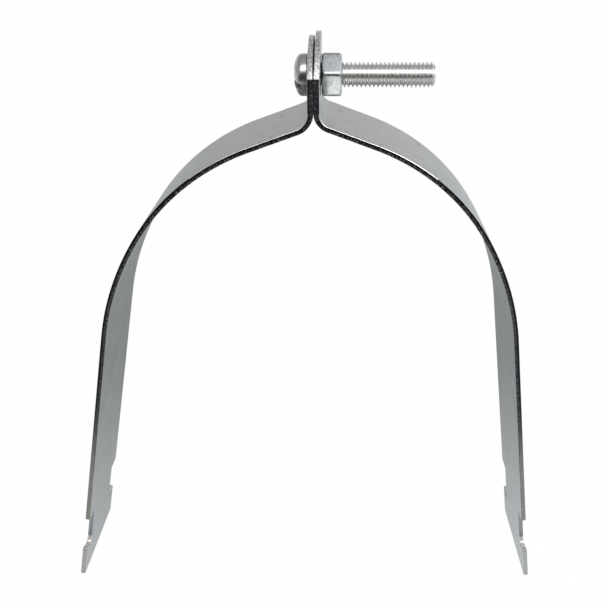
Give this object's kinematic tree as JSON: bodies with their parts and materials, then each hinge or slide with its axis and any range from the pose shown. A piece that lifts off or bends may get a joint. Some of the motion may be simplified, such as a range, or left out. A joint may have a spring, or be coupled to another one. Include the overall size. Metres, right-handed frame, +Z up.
{
  "type": "strut pipe clamp",
  "caption": "Zinc plated strap clamp that holds a pipe against slotted strut channel, with hooked notched feet and a pan head screw and hex nut through its ears.",
  "frame": {"origin": "on the floor plane that the foot ends stand on, midway between the outermost edges of the two feet and midway across the width of the straps", "axes": "+X along the screw from its head to its tip, +Y along the pipe away from the front, +Z up from the feet to the ears"},
  "size_m": [0.1352, 0.03, 0.1549],
  "materials": {
    "left_strap": "bright zinc plating with bare sheared edges",
    "right_strap": "bright zinc plating with bare sheared edges",
    "clamp_screw": "bright zinc plating",
    "hex_nut": "bright zinc plating"
  },
  "bodies": {
    "left_half": {"left_strap": "left_strap"},
    "right_half": {"right_strap": "right_strap"},
    "screw": {"clamp_screw": "clamp_screw"},
    "nut": {"hex_nut": "hex_nut"}
  },
  "joints": [
    {"name": "screw_turn", "type": "hinge", "parent": "left_half", "child": "screw", "pos_m": [0.00456, 0, 0.145], "axis": [-1, 0, 0], "range_deg": [0, 7201]},
    {"name": "nut_travel", "type": "slide", "parent": "left_half", "child": "nut", "axis": [1, 0, 0], "range_m": [0, 0.02]},
    {"name": "strap_swivel", "type": "hinge", "parent": "nut", "child": "right_half", "pos_m": [0.00456, 0, 0.145], "axis": [1, 0, 0], "continuous": true}
  ],
  "couplings": [
    {"joint": "screw_turn", "follows": "nut_travel", "rad_per_m": 6283.2}
  ]
}
